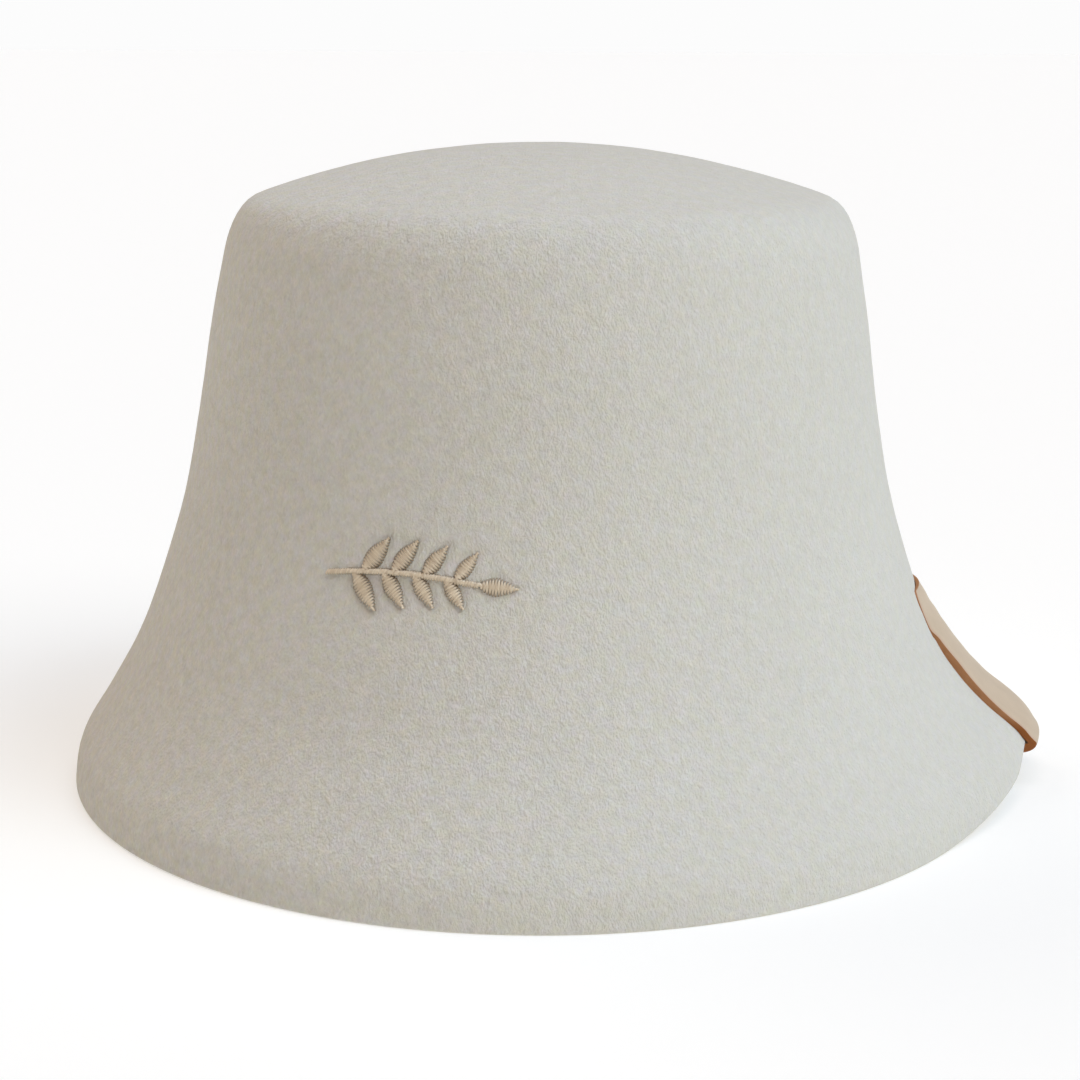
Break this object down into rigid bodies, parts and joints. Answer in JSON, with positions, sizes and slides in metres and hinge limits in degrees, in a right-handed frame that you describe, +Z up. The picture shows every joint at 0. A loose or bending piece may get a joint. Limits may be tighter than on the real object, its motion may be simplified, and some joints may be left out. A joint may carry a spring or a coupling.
{
  "type": "sauna hat",
  "caption": "Felt sauna hat with a shallow domed bucket crown, a flared brim and a folded leather hanging strap on the brim's edge.",
  "frame": {"origin": "on the floor under the middle of the whole hat's box, strap included; the crown's axis stands about 5 mm towards -X of it", "axes": "+Z up through the crown, -Y towards the front of the hat, +X towards the side that carries the strap"},
  "size_m": [0.26, 0.2624, 0.1666],
  "materials": {
    "wool_felt": "matte needled wool felt, natural off-white",
    "strap_leather": "undyed vegetable-tanned leather, pale pinkish tan grain with a brown cut edge",
    "tan_thread": "satin embroidery thread, tan with a soft sheen"
  },
  "bodies": {
    "root": {"felt_body": "wool_felt", "hanging_strap": "strap_leather"}
  },
  "joints": []
}
